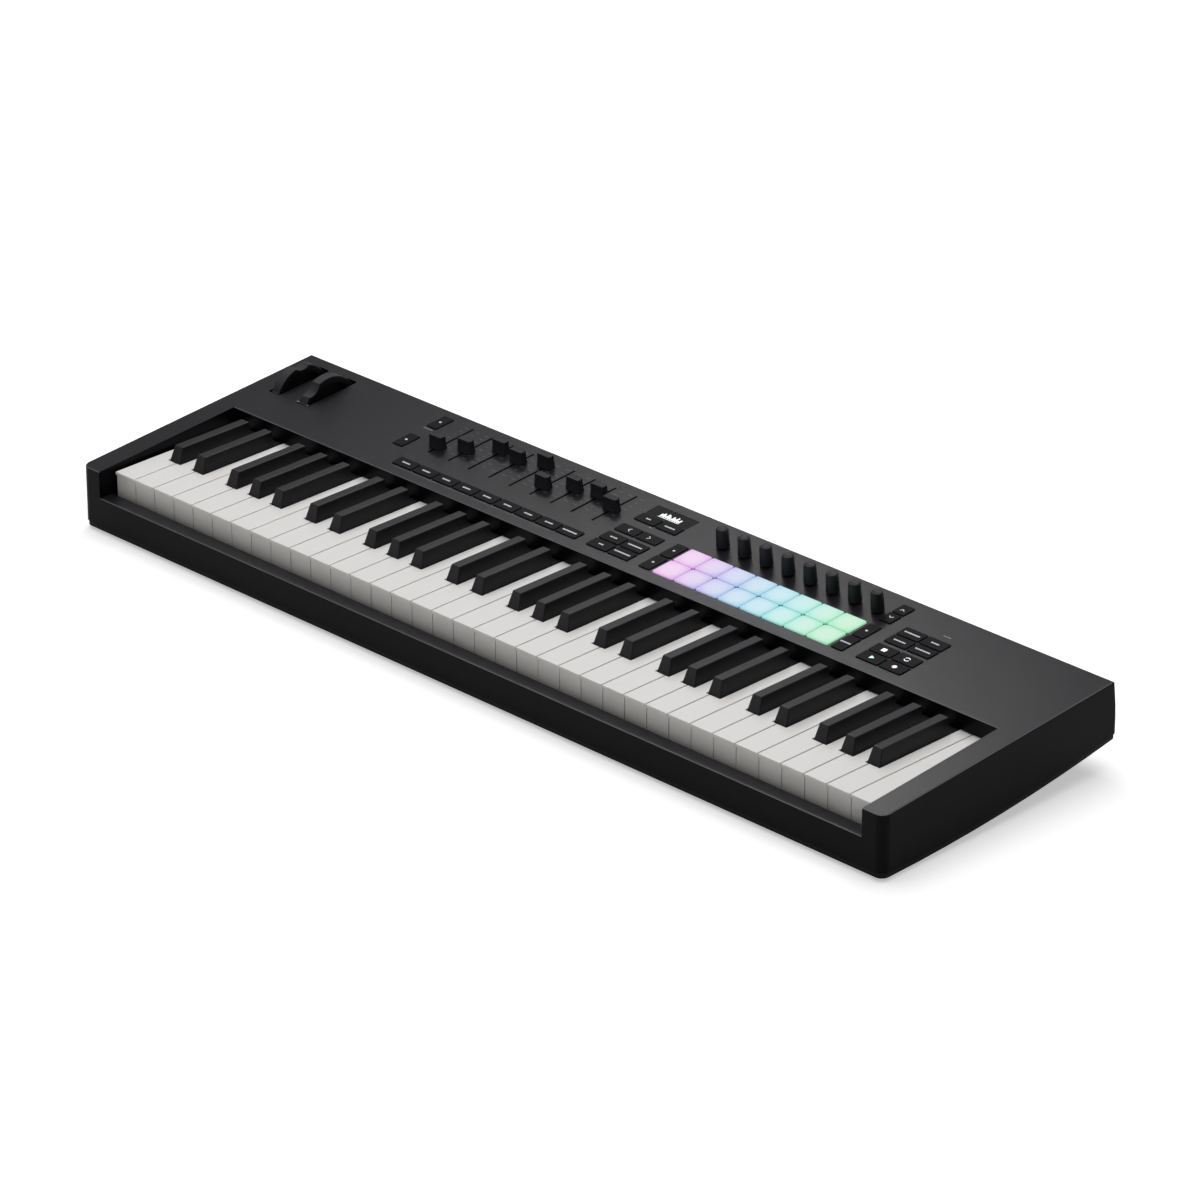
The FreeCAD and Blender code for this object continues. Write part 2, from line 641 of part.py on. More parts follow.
def fader_cap():
    def ring(width, depth, z):
        corners = [V(-width / 2, -depth / 2, z), V(width / 2, -depth / 2, z),
                   V(width / 2, depth / 2, z), V(-width / 2, depth / 2, z)]
        return Part.makePolygon(corners + corners[:1])

    top = cap_lift + cap_height
    body = Part.makeLoft([ring(cap_width, cap_depth, cap_lift), ring(cap_width - 0.8, cap_depth - 2.0, top)],
                         True, True)
    body = body.makeFillet(0.7, [e for e in body.Edges if e.BoundBox.ZMax > top - 0.1])
    for side in (-1, 1):
        dish = rod(dish_radius, -cap_width, cap_width, side * dish_offset, top + dish_radius - dish_depth)
        body = body.cut(dish)
    lever = block(-lever_thickness / 2, lever_thickness / 2, -lever_length / 2, lever_length / 2,
                  -board_drop + 2.2, cap_lift + 1)
    return fuse([body, lever])


cap = fader_cap()
travel_start = slot_middle - fader_travel / 2
for number, (x, stop) in enumerate(zip(slot_x, fader_stops), 1):
    save("fader_cap_" + str(number), on_panel(cap, x, travel_start + stop))

# Knobs on encoder shafts
bodies = []
for x, reach in knob_places:
    base = block(-encoder_half_width, encoder_half_width, -encoder_half_depth, encoder_half_depth,
                 -board_drop, -wall - 0.6)
    bodies.append(on_panel(fuse([base, post(shaft_radius, 0, 0, -wall - 1, shaft_height)]), x, reach))
save("encoder_bodies", bodies)
knob = Part.makeCone(knob_radius, knob_radius - knob_taper, knob_height, V(0, 0, knob_lift))
knob_top = knob_lift + knob_height
knob = knob.makeFillet(0.8, [e for e in knob.Edges if e.BoundBox.ZMin > knob_top - 0.01])
knob = knob.cut(post(shaft_radius + shaft_clearance, 0, 0, 0, shaft_height + 0.1))
for number, (x, reach) in enumerate(knob_places, 1):
    save("knob_" + str(number), on_panel(knob, x, reach))

# The board under the panel
board = block(board_low_x, board_high_x, 0, board_rear - board_front, -board_drop - board_thickness,
              -board_drop)
save("control_board", on_panel(board, 0, board_front))


# Pitch and modulation wheels in their bracket

def wheel(x, low_x, high_x, scoop_turn):
    half = wheel_width / 2
    disc = rod(wheel_radius, x - half, x + half, wheel_y, wheel_z)
    disc = disc.makeFillet(1.2, [e for e in disc.Edges if e.BoundBox.XLength < 0.01])
    for side in (-1, 1):
        x0, x1 = sorted((x + side * web_half, x + side * (half + 1)))
        hub = rod(hub_radius, x0, x1, wheel_y, wheel_z)
        ring = rod(wheel_radius - tyre_width, x0, x1, wheel_y, wheel_z).cut(hub)
        disc = disc.cut(ring)
    distance = wheel_radius + scoop_radius - scoop_depth
    angle = math.radians(scoop_turn)
    disc = disc.cut(rod(scoop_radius, x - wheel_width, x + wheel_width,
                        wheel_y - distance * math.sin(angle), wheel_z + distance * math.cos(angle)))
    return fuse([disc, rod(axle_radius, low_x, high_x, wheel_y, wheel_z)])


bracket_x = [wheel_x[0] - bracket_reach, sum(wheel_x) / 2, wheel_x[1] + bracket_reach]
axle_gap = 0.4
save("pitch_wheel", wheel(wheel_x[0], bracket_x[0] - upright / 2, bracket_x[1] - axle_gap / 2, scoop_turns[0]))
save("mod_wheel", wheel(wheel_x[1], bracket_x[1] + axle_gap / 2, bracket_x[2] + upright / 2, scoop_turns[1]))
bracket = [block(bracket_x[0] - upright / 2, bracket_x[2] + upright / 2, wheel_y - bracket_half,
                 wheel_y + bracket_half, bracket_low, bracket_floor)]
bracket += [block(x - upright / 2, x + upright / 2, wheel_y - upright_half, wheel_y + upright_half,
                  bracket_low, wheel_z + 6) for x in bracket_x]
bracket = fuse(bracket).cut(rod(axle_radius + axle_clearance, bracket_x[0] - 5, bracket_x[2] + 5,
                                wheel_y, wheel_z))
save("wheel_bracket", bracket)

# Sockets, each standing on a ledge of the bottom case
face_y = rear_y(socket_height) + 0.6
along_y = V(0, 1, 0)
jack = block(jack_x - 8.0, jack_x + 8.0, socket_y0, face_y - socket_step, socket_height - 8.0,
             socket_height + 8.0)
jack = jack.fuse(Part.makeCylinder(6.0, 6.0, V(jack_x, face_y - 6.0, socket_height), along_y))
jack = jack.cut(Part.makeCylinder(jack_radius, jack_depth, V(jack_x, face_y - jack_depth, socket_height),
                                  along_y)).removeSplitter()
save("pedal_socket", jack)
midi = block(midi_x - 9.5, midi_x + 9.5, socket_y0, face_y - socket_step, socket_height - 9.5,
             socket_height + 9.5)
midi = midi.fuse(Part.makeCylinder(plug_radius, 6.0, V(midi_x, face_y - 6.0, socket_height), along_y))
ring = Part.makeCylinder(7.2, 1.2, V(midi_x, face_y - 1.2, socket_height), along_y)
midi = midi.cut(ring.cut(Part.makeCylinder(6.4, 1.2, V(midi_x, face_y - 1.2, socket_height), along_y)))
for angle in (-90, -45, 0, 45, 90):
    turn = math.radians(angle)
    x, z = midi_x + 4.2 * math.sin(turn), socket_height + 4.2 * math.cos(turn)
    midi = midi.cut(Part.makeCylinder(0.8, 9.0, V(x, face_y - 9.0, z), along_y))
save("midi_socket", midi.removeSplitter())
usb = block(usb_x - usb_half, usb_x + usb_half, socket_y0, face_y, socket_height - usb_rise,
            socket_height + usb_rise)
usb = usb.cut(block(usb_x - 4.4, usb_x + 4.4, face_y - 7.0, face_y, socket_height - 1.5, socket_height + 1.5))
usb = usb.fuse(block(usb_x - 3.4, usb_x + 3.4, face_y - 7.5, face_y - 1.0, socket_height - 0.4,
                     socket_height + 0.4))
save("usb_socket", usb)
print("case", 2 * half_length, "x", case_depth)
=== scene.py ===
import json
import math

import bmesh
import bpy
import numpy as np
from mathutils import Matrix, Vector

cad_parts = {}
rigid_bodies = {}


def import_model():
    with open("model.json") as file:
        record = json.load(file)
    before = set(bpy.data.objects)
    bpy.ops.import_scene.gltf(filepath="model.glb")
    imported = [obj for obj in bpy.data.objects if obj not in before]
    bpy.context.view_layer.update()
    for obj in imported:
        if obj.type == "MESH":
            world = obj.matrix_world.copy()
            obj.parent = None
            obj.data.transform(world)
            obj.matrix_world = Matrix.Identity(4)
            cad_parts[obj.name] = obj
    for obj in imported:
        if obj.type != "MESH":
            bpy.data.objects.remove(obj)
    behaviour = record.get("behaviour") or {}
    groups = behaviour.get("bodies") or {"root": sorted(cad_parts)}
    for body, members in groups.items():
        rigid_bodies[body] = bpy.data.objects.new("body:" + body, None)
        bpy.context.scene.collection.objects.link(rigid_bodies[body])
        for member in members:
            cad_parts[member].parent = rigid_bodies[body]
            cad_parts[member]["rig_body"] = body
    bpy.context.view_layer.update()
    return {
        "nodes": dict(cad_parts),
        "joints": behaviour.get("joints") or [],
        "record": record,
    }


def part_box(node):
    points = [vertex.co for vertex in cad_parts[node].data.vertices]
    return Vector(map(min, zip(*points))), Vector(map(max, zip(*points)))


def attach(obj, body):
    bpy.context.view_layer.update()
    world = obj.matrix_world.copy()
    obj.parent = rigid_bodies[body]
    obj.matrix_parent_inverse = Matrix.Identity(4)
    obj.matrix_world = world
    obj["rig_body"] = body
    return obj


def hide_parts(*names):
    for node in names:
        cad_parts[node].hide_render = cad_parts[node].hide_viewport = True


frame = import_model()
cadNodes = frame["nodes"]
print("frame loaded with", len(cadNodes), "nodes")


shot = {"place": (3.0792, -3.0761, 2.1178), "tilt": 64.4528, "turn": 44.8045, "roll": -0.099,
        "lens": 182.478, "sensor": 36.0}


def turned(degrees, axis):
    return Matrix.Rotation(math.radians(degrees), 4, axis)


cameraData = bpy.data.cameras.new("camera")
cameraData.lens, cameraData.sensor_width = shot["lens"], shot["sensor"]
cameraData.clip_start, cameraData.clip_end = 0.1, 60.0
cameraObject = bpy.data.objects.new("camera", cameraData)
cameraObject.matrix_world = (Matrix.Translation(shot["place"]) @ turned(shot["turn"], "Z")
                             @ turned(shot["tilt"], "X") @ turned(shot["roll"], "Z"))
bpy.context.scene.collection.objects.link(cameraObject)
bpy.context.scene.camera = cameraObject
bpy.context.scene.view_settings.view_transform = "Standard"
print("camera placed")


def tint(red, green, blue):  # a screen colour, 0 to 255 each, as linear light
    shares = [c / 255 for c in (red, green, blue)]
    return tuple(s / 12.92 if s <= 0.04045 else ((s + 0.055) / 1.055) ** 2.4 for s in shares) + (1.0,)


class Signal:  # one node output; arithmetic on it adds Math nodes
    def __init__(self, paint, socket):
        self.paint, self.socket = paint, socket

    def maths(self, operation, first, second=0.0):
        return self.paint.node("ShaderNodeMath", {"operation": operation}, {0: first, 1: second})

    def __add__(self, other):
        return self.maths("ADD", self, other)

    def __mul__(self, other):
        return self.maths("MULTIPLY", self, other)

    def __sub__(self, other):
        return self.maths("SUBTRACT", self, other)

    def __rsub__(self, other):
        return self.maths("SUBTRACT", other, self)

    def __truediv__(self, other):
        return self.maths("DIVIDE", self, other)

    def __abs__(self):
        return self.maths("ABSOLUTE", self)

    def fraction(self):
        return self.maths("FRACT", self)

    __radd__, __rmul__ = __add__, __mul__


class Paint:  # one material's node tree
    def __init__(self, name):
        self.material = bpy.data.materials.new(name)
        self.material.use_nodes = True
        self.tree = self.material.node_tree
        self.tree.nodes.clear()

    def node(self, kind, settings=None, values=None, result=0):  # type, then settings, then sockets
        made = self.tree.nodes.new(kind)
        for key, value in (settings or {}).items():
            if key == "stops":
                self.setStops(made.color_ramp, value)
            else:
                setattr(made, key, value)
        for key, value in (values or {}).items():
            if isinstance(value, Signal):
                self.tree.links.new(value.socket, made.inputs[key])
            else:
                made.inputs[key].default_value = value
        return Signal(self, made.outputs[result]) if len(made.outputs) else made

    def setStops(self, ramp, stops):
        while len(ramp.elements) < len(stops):
            ramp.elements.new(0.5)
        for element, (position, colour) in zip(ramp.elements, stops):
            element.position, element.color = position, colour

    def ramp(self, factor, stops):
        return self.node("ShaderNodeValToRGB", {"stops": stops}, {"Fac": factor})

    def place(self):  # object coordinates, in metres
        return self.node("ShaderNodeTexCoord", None, None, "Object")

    def axes(self, vector):
        return [self.node("ShaderNodeSeparateXYZ", None, {"Vector": vector}, i) for i in range(3)]

    def facing(self):
        return self.node("ShaderNodeNewGeometry", None, None, "Normal")

    def stretched(self, vector, scale):
        return self.node("ShaderNodeMapping", None, {"Vector": vector, "Scale": scale})

    def noise(self, vector, scale, detail=3.0):
        values = {"Vector": vector, "Scale": scale, "Detail": detail}
        return self.node("ShaderNodeTexNoise", None, values, "Fac")

    def span(self, value, low, high, start, end):  # value from low..high to start..end, smoothly
        return self.node("ShaderNodeMapRange", {"interpolation_type": "SMOOTHSTEP"},
                         {"Value": value, "From Min": low, "From Max": high, "To Min": start, "To Max": end})

    def mixed(self, factor, first, second, blend="MIX"):
        return self.node("ShaderNodeMix", {"data_type": "RGBA", "blend_type": blend},
                         {0: factor, 6: first, 7: second}, 2)

    def bump(self, height, distance, strength=1.0):
        return self.node("ShaderNodeBump", None, {"Height": height, "Distance": distance, "Strength": strength})

    def shader(self, **sockets):
        values = {key.replace("_", " "): value for key, value in sockets.items()}
        return self.node("ShaderNodeBsdfPrincipled", None, values)

    def finish(self, shader):
        self.node("ShaderNodeOutputMaterial", None, {"Surface": shader})
        return self.material

    def surface(self, **sockets):
        return self.finish(self.shader(**sockets))


mouldings = {  # dark and light colour, roughness range, grain size in 1/m and depth in m, gloss
    "basePlastic": {"dark": (13, 13, 16), "light": (20, 20, 24), "rough": (0.5, 0.62), "grain": 2200.0,
                    "depth": 4e-5, "gloss": 0.2},
    "chassisPlastic": {"dark": (30, 30, 33), "light": (42, 42, 46), "rough": (0.45, 0.6), "grain": 1500.0,
                       "depth": 3e-5, "gloss": 0.3},
    "faderBody": {"dark": (12, 12, 13), "light": (24, 24, 26), "rough": (0.35, 0.5), "grain": 1800.0,
                  "depth": 2e-5, "gloss": 0.4},
    "socketPlastic": {"dark": (10, 10, 11), "light": (20, 20, 22), "rough": (0.3, 0.45), "grain": 1600.0,
                      "depth": 2e-5, "gloss": 0.5},
    "footRubber": {"dark": (16, 16, 17), "light": (32, 32, 33), "rough": (0.75, 0.92), "grain": 1300.0,
                   "depth": 8e-5, "gloss": 0.3},
    "capRubber": {"dark": (24, 24, 28), "light": (38, 38, 42), "rough": (0.48, 0.64), "grain": 2400.0,
                  "depth": 5e-5, "gloss": 0.4},
    "knobRubber": {"dark": (14, 14, 17), "light": (25, 25, 29), "rough": (0.42, 0.58), "grain": 2400.0,
                   "depth": 4e-5, "gloss": 0.4},
    "buttonPlastic": {"dark": (11, 11, 14), "light": (18, 18, 22), "rough": (0.5, 0.6), "grain": 2600.0,
                      "depth": 2e-5, "gloss": 0.12},
}


def moulded(name):  # spark-eroded plastic or rubber: fine grain, with a slow change in tone and shine
    look = mouldings[name]
    paint = Paint(name)
    place = paint.place()
    grain = paint.noise(place, look["grain"], 2.0)
    drift = paint.noise(place, 14.0, 3.0)
    tone = paint.span(grain * 0.55 + drift * 0.45, 0.3, 0.7, 0.0, 1.0)
    low, high = look["rough"]
    return paint.surface(Base_Color=paint.mixed(tone, tint(*look["dark"]), tint(*look["light"])),
                         Roughness=low + (high - low) * drift, Specular_IOR_Level=look["gloss"],
                         Normal=paint.bump(grain, look["depth"]))


# the side colours are painted shade: the walls are the same plastic as the panel, painted darker; the edge
# colour is a painted highlight on the panel's rounded edges
caseLook = {"panel": (31, 30, 35), "panelDeep": (25, 24, 29), "side": (9, 9, 12), "shadedSideDeep": (6, 6, 9),
            "edge": (120, 120, 126), "grain": 2600.0, "depth": 6e-5, "rough": (0.26, 0.34), "panelGloss": 0.4,
            "wallGloss": 0.08}

wheelLook = {"tread": (58, 58, 63), "treadDeep": (42, 42, 46), "side": (6, 6, 8), "rough": (0.5, 0.68),
             "grain": 1900.0, "depth": 6e-5}


def wheelFinish():  # the tread is lighter grey; the side faces are painted near-black as painted shade
    paint = Paint("wheelRubber")
    place = paint.place()
    grain = paint.noise(place, wheelLook["grain"], 2.0)
    drift = paint.noise(place, 60.0, 3.0)
    shadedSideMask = abs(paint.axes(paint.facing())[0])
    tone = paint.span(grain * 0.5 + drift * 0.5, 0.3, 0.7, 0.0, 1.0)
    tread = paint.mixed(tone, tint(*wheelLook["treadDeep"]), tint(*wheelLook["tread"]))
    # painted shade: faces turned sideways get the near-black side colour
    colour = paint.mixed(paint.span(shadedSideMask, 0.3, 0.7, 0.0, 1.0), tread, tint(*wheelLook["side"]))
    low, high = wheelLook["rough"]
    return paint.surface(Base_Color=colour, Roughness=low + (high - low) * drift, Specular_IOR_Level=0.3,
                         Normal=paint.bump(grain, wheelLook["depth"]))


def caseFinish():  # the walls are painted darker than the sloping panel as painted shade, and a painted highlight lightens the panel's rounded edges, its front lip among them
    paint = Paint("casePlastic")
    place = paint.place()
    upright = paint.axes(paint.facing())[2]
    grain = paint.noise(place, caseLook["grain"], 2.0)
    drift = paint.noise(place, 9.0, 4.0)
    smear = paint.noise(paint.stretched(place, (6.0, 26.0, 26.0)), 1.0, 2.0)
    tone = paint.span(grain * 0.5 + drift * 0.5, 0.32, 0.68, 0.0, 1.0)
    top = paint.mixed(tone, tint(*caseLook["panelDeep"]), tint(*caseLook["panel"]))
    # painted highlight: a light colour on faces tilted between upright and level, the panel's rounded edges
    paintedEdgeHighlight = paint.span(upright, 0.35, 0.6, 0.0, 1.0) * paint.span(upright, 0.8, 0.97, 1.0, 0.0)
    top = paint.mixed(paintedEdgeHighlight * 0.8, top, tint(*caseLook["edge"]))
    # painted shade: the walls get a much darker colour than the panel
    shadedWalls = paint.mixed(tone, tint(*caseLook["shadedSideDeep"]), tint(*caseLook["side"]))
    low, high = caseLook["rough"]
    rough = low + (high - low) * (0.6 * drift + 0.4 * smear)
    relief = paint.bump(grain, caseLook["depth"])
    onPanelFace = paint.span(upright, 0.3, 0.6, 0.0, 1.0)
    shadedWallShader = paint.shader(Base_Color=shadedWalls, Roughness=rough, Normal=relief,
                              Specular_IOR_Level=caseLook["wallGloss"])
    panelShader = paint.shader(Base_Color=top, Roughness=rough, Normal=relief,
                               Specular_IOR_Level=caseLook["panelGloss"])
    both = {0: onPanelFace, 1: shadedWallShader, 2: panelShader}
    return paint.finish(paint.node("ShaderNodeMixShader", None, both))


whiteLook = {"top": (246, 244, 242), "side": (232, 229, 225), "rough": (0.2, 0.3)}


def whiteKeyFinish():  # glossy plastic, polished by fingers in front, with faint flow lines
    paint = Paint("whiteKeyPlastic")
    place = paint.place()
    across = paint.axes(place)[1]
    upright = paint.axes(paint.facing())[2]
    flow = paint.noise(paint.stretched(place, (160.0, 12.0, 160.0)), 1.0, 3.0)
    speck = paint.noise(place, 900.0, 2.0)
    worn = paint.span(across, -0.12, -0.02, 0.0, 1.0)
    # painted shade: the key's sides are painted darker than its top
    colour = paint.mixed(paint.span(upright, 0.2, 0.9, 1.0, 0.0), tint(*whiteLook["top"]),
                         tint(*whiteLook["side"]))
    colour = paint.mixed(flow * 0.12, colour, tint(205, 200, 192))
    low, high = whiteLook["rough"]
    return paint.surface(Base_Color=colour, Roughness=low + (high - low) * (0.5 * worn + 0.5 * flow),
                         Specular_IOR_Level=0.45, Coat_Roughness=0.15, Coat_Weight=0.15,
                         Normal=paint.bump(speck, 1e-5))


blackLook = {"side": (13, 13, 16), "top": (36, 36, 41), "front": (44, 44, 48), "rough": (0.36, 0.5)}


def blackKeyFinish():  # satin black with a brushed grain along the key; painted light: its top and raked front are painted lighter than its sides
    paint = Paint("blackKeyPlastic")
    place = paint.place()
    normal = paint.axes(paint.facing())
    strand = paint.noise(paint.stretched(place, (900.0, 40.0, 900.0)), 1.0, 3.0)
    grain = paint.noise(place, 2400.0, 2.0)
    tone = paint.span(strand * 0.6 + grain * 0.4, 0.3, 0.7, 0.75, 1.0)
    # painted light and shade: the sides darkest, the top lighter, the raked front lighter still, by the way
    # each faces
    colour = paint.mixed(paint.span(normal[2], 0.6, 0.95, 0.0, 1.0), tint(*blackLook["side"]),
                         tint(*blackLook["top"]))
    colour = paint.mixed(paint.span(normal[1], -0.8, -0.6, 1.0, 0.0), colour, tint(*blackLook["front"]))
    colour = paint.mixed(1.0, colour, paint.ramp(tone, [(0.0, (0, 0, 0, 1)), (1.0, (1, 1, 1, 1))]), "MULTIPLY")
    low, high = blackLook["rough"]
    return paint.surface(Base_Color=colour, Roughness=low + (high - low) * strand, Specular_IOR_Level=0.35,
                         Normal=paint.bump(grain * 0.6 + strand * 0.4, 3e-5))


padLook = {"colours": [(250, 196, 250), (222, 196, 250), (196, 206, 252), (184, 224, 252), (176, 234, 250),
                       (174, 244, 240), (178, 248, 222), (182, 250, 206)],
           "glow": 0.58, "skin": 0.62, "centre": 0.24}


def padFinish(low, high, rows):  # lit silicone: each pad has its colour, brightest above its lamp
    paint = Paint("padSilicone")
    place = paint.place()
    along, across = paint.axes(place)[:2]
    count = len(padLook["colours"])
    column = (along - low) / (high - low)
    stops = [((i + 0.5) / count, tint(*colour)) for i, colour in enumerate(padLook["colours"])]
    colour = paint.ramp(column, stops)
    offCentre = abs((column * count).fraction() - 0.5)
    offRow = abs(((across - rows[0]) / (rows[1] - rows[0]) * 2.0).fraction() - 0.5)
    rim = paint.span(offCentre * offCentre + offRow * offRow, 0.02, 0.34, 1.0, 0.0)
    weave = paint.node("ShaderNodeTexVoronoi", None, {"Vector": place, "Scale": 620.0}, "Distance")
    pale = paint.mixed(rim * (0.55 + padLook["centre"]), colour, (1.0, 1.0, 1.0, 1.0))
    lamp = paint.mixed(weave * 0.35, pale, colour)
    skin = paint.mixed(padLook["skin"], colour, (0.0, 0.0, 0.0, 1.0))
    return paint.surface(Base_Color=skin, Roughness=0.55 + 0.1 * weave,
                         Emission_Color=lamp, Emission_Strength=padLook["glow"], Specular_IOR_Level=0.3,
                         Normal=paint.bump(weave, 5e-5))


def steelFinish(name, colour, direction):  # brushed metal, its scratches along one axis
    paint = Paint(name)
    place = paint.place()
    scratch = paint.noise(paint.stretched(place, direction), 1.0, 4.0)
    stain = paint.noise(place, 60.0, 3.0)
    return paint.surface(Base_Color=paint.mixed(stain * 0.4, tint(*colour), tint(96, 96, 98)), Metallic=1.0,
                         Roughness=0.24 + 0.22 * scratch, Normal=paint.bump(scratch, 1e-5))


def boardFinish():  # green lacquer over copper tracks
    paint = Paint("circuitBoard")
    place = paint.place()
    across = paint.axes(place)[1]
    lanes = (across * 420.0 + paint.noise(place, 24.0, 1.0) * 3.0).fraction()
    track = paint.span(abs(lanes - 0.5), 0.12, 0.2, 1.0, 0.0)
    weave = paint.noise(place, 1400.0, 2.0)
    colour = paint.mixed(track, tint(12, 58, 34), tint(34, 96, 52))
    colour = paint.mixed(weave * 0.3, colour, tint(8, 36, 22))
    return paint.surface(Base_Color=colour, Roughness=0.34 + 0.15 * weave,
                         Coat_Weight=0.3, Normal=paint.bump(track * 0.7 + weave * 0.3, 4e-5))


def feltFinish():  # matted fibres
    paint = Paint("keyFelt")
    place = paint.place()
    fibre = paint.noise(paint.stretched(place, (700.0, 2600.0, 2600.0)), 1.0, 5.0)
    clump = paint.noise(place, 220.0, 3.0)
    return paint.surface(Base_Color=paint.mixed(fibre, tint(94, 20, 26), tint(150, 42, 46)),
                         Roughness=0.86 + 0.1 * clump, Sheen_Weight=0.4,
                         Normal=paint.bump(fibre * 0.7 + clump * 0.3, 3e-4))


def glassFinish():  # black glass with a trace of fingerprints
    paint = Paint("screenGlass")
    place = paint.place()
    smudge = paint.noise(place, 130.0, 5.0)
    film = paint.span(smudge, 0.45, 0.75, 0.0, 1.0)
    colour = paint.mixed(film, tint(5, 5, 7), tint(13, 13, 16))
    return paint.surface(Base_Color=colour, Roughness=0.06 + 0.12 * film,
                         Specular_IOR_Level=0.5, Coat_Weight=0.6, Coat_Roughness=0.04,
                         Normal=paint.bump(smudge, 2e-6))


inks = {  # colour, how much it shines by itself
    "whiteInk": {"colour": (214, 216, 220), "light": 0.25},
    "greyInk": {"colour": (150, 150, 154), "light": 0.0},
    "faintInk": {"colour": (112, 112, 116), "light": 0.0},
    "screenLight": {"colour": (236, 240, 240), "light": 0.8},
    "playLight": {"colour": (206, 250, 228), "light": 0.85},
    "recordLight": {"colour": (250, 206, 214), "light": 0.85},
    "lampWhite": {"colour": (250, 250, 250), "light": 0.85},
}


def inkFinish(name):  # a thin printed film, thinner in places
    look = inks[name]
    paint = Paint(name)
    patchy = paint.noise(paint.place(), 1600.0, 3.0)
    colour = paint.mixed(patchy * 0.3, tint(*look["colour"]), tint(*[c * 0.82 for c in look["colour"]]))
    return paint.surface(Base_Color=colour, Roughness=0.45 + 0.2 * patchy, Emission_Color=colour,
                         Emission_Strength=look["light"], Normal=paint.bump(patchy, 5e-6))


def spread(names):  # lowest and highest corner of several nodes together
    boxes = [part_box(name) for name in names]
    return np.min([low for low, high in boxes], axis=0), np.max([high for low, high in boxes], axis=0)


padNames = sorted(name for name in cadNodes if name.startswith("pads_"))
padLow, padHigh = spread(padNames)
padMargin = 0.0007  # half the gap between two pads
finishes = {name: moulded(name) for name in mouldings}
finishes.update({name: inkFinish(name) for name in inks})
finishes["casePlastic"] = caseFinish()
finishes["wheelRubber"] = wheelFinish()
finishes["whiteKey"] = whiteKeyFinish()
finishes["blackKey"] = blackKeyFinish()
finishes["pad"] = padFinish(float(padLow[0]) - padMargin, float(padHigh[0]) + padMargin,
                            (float(padLow[1]) - padMargin, float(padHigh[1]) + padMargin))
finishes["steel"] = steelFinish("springSteel", (168, 168, 170), (300.0, 300.0, 2400.0))
finishes["socketSteel"] = steelFinish("socketSteel", (178, 178, 176), (2200.0, 240.0, 2200.0))
finishes["board"] = boardFinish()
finishes["felt"] = feltFinish()
finishes["glass"] = glassFinish()

slotFinishes = {"case_plastic": "casePlastic", "base_plastic": "basePlastic",
                "chassis_plastic": "chassisPlastic", "steel": "steel", "board": "board", "felt": "felt",
                "screen_glass": "glass", "fader_body": "faderBody", "socket_steel": "socketSteel",
                "socket_plastic": "socketPlastic", "rubber": "footRubber", "wheel_rubber": "wheelRubber",
                "pad_silicone": "pad", "button_plastic": "buttonPlastic", "fader_cap": "capRubber",
                "knob_rubber": "knobRubber", "white_key": "whiteKey", "black_key": "blackKey"}
for part in frame["record"]["subparts"]:
    mesh = cadNodes[part["node"]].data
    mesh.materials.clear()
    mesh.materials.append(finishes[slotFinishes[part["material_slot"]]])
print("finishes made:", len(finishes))


pressAxis = Vector(next(j for j in frame["joints"] if j["child"].startswith("pads_a"))["axis"])
panelUp = pressAxis.normalized() * (1 if pressAxis.z > 0 else -1)
panelBack = Vector((0.0, panelUp.z, -panelUp.y))
panelTurn = np.array([(1.0, 0.0, 0.0), tuple(panelBack), tuple(panelUp)])  # rows are the panel's axes
panelLevel = float(np.max(np.array([v.co for v in cadNodes["top_case"].data.vertices]) @ panelTurn[2]))


def inPanel(points):
    return points @ panelTurn.T


def outOfPanel(points):
    return points @ panelTurn


def pieceBoxes(node):
    # the node's separate pieces as (low, high) in the panel's frame, front to back and left to right
    mesh = cadNodes[node].data
    co = np.zeros(len(mesh.vertices) * 3)
    mesh.vertices.foreach_get("co", co)
    merged, ids = np.unique(np.round(co.reshape(-1, 3), 6), axis=0, return_inverse=True)
    mesh.calc_loop_triangles()
    corners = np.zeros(len(mesh.loop_triangles) * 3, np.int64)
    mesh.loop_triangles.foreach_get("vertices", corners)
    triangles = ids.reshape(-1)[corners].reshape(-1, 3)
    label = np.arange(len(merged))
    while True:  # every corner takes the lowest label of its triangle, until nothing changes
        before = label.copy()
        lowest = label[triangles].min(axis=1)
        for column in range(3):
            np.minimum.at(label, triangles[:, column], lowest)
        label = label[label]
        if np.array_equal(before, label):
            break
    local = inPanel(merged)
    found = [(local[label == root].min(axis=0), local[label == root].max(axis=0)) for root in np.unique(label)]
    return sorted(found, key=lambda box: (round(float(box[0][1]), 3), float(box[0][0])))


def middles(boxes):
    return [((low + high) / 2)[:2] for low, high in boxes]


def shellMesh(name, shells, finish, body, sharp=35.0):
    # shells holds (shell, step along the profile, step around, xyz); round the second it closes on itself
    count, steps, around = shells.shape[:3]
    ids = np.arange(count * steps * around).reshape(count, steps, around)
    ahead = np.roll(ids, -1, axis=2)
    quads = np.stack([ids[:, :-1], ahead[:, :-1], ahead[:, 1:], ids[:, 1:]], axis=-1).reshape(-1, 4)
    mesh = bpy.data.meshes.new(name)
    mesh.from_pydata(shells.reshape(-1, 3).tolist(), [], quads.tolist())
    work = bmesh.new()
    work.from_mesh(mesh)
    bmesh.ops.remove_doubles(work, verts=work.verts, dist=1e-6)  # closes the poles
    bmesh.ops.recalc_face_normals(work, faces=work.faces)
    work.to_mesh(mesh)
    work.free()
    mesh.shade_smooth()
    mesh.set_sharp_from_angle(angle=math.radians(sharp))
    mesh.materials.append(finishes[finish])
    made = bpy.data.objects.new(name, mesh)
    bpy.context.scene.collection.objects.link(made)
    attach(made, body)
    return made


def bodyOf(node):
    return cadNodes[node]["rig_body"]


knobPlan = {"flutes": 20, "fluteDepth": 0.00022, "shoulder": 0.0011, "dish": 0.0007, "dishRadius": 0.0042,
            "bore": 0.00305, "boreTop": 0.0082, "around": 160, "baseFlare": 0.00025}


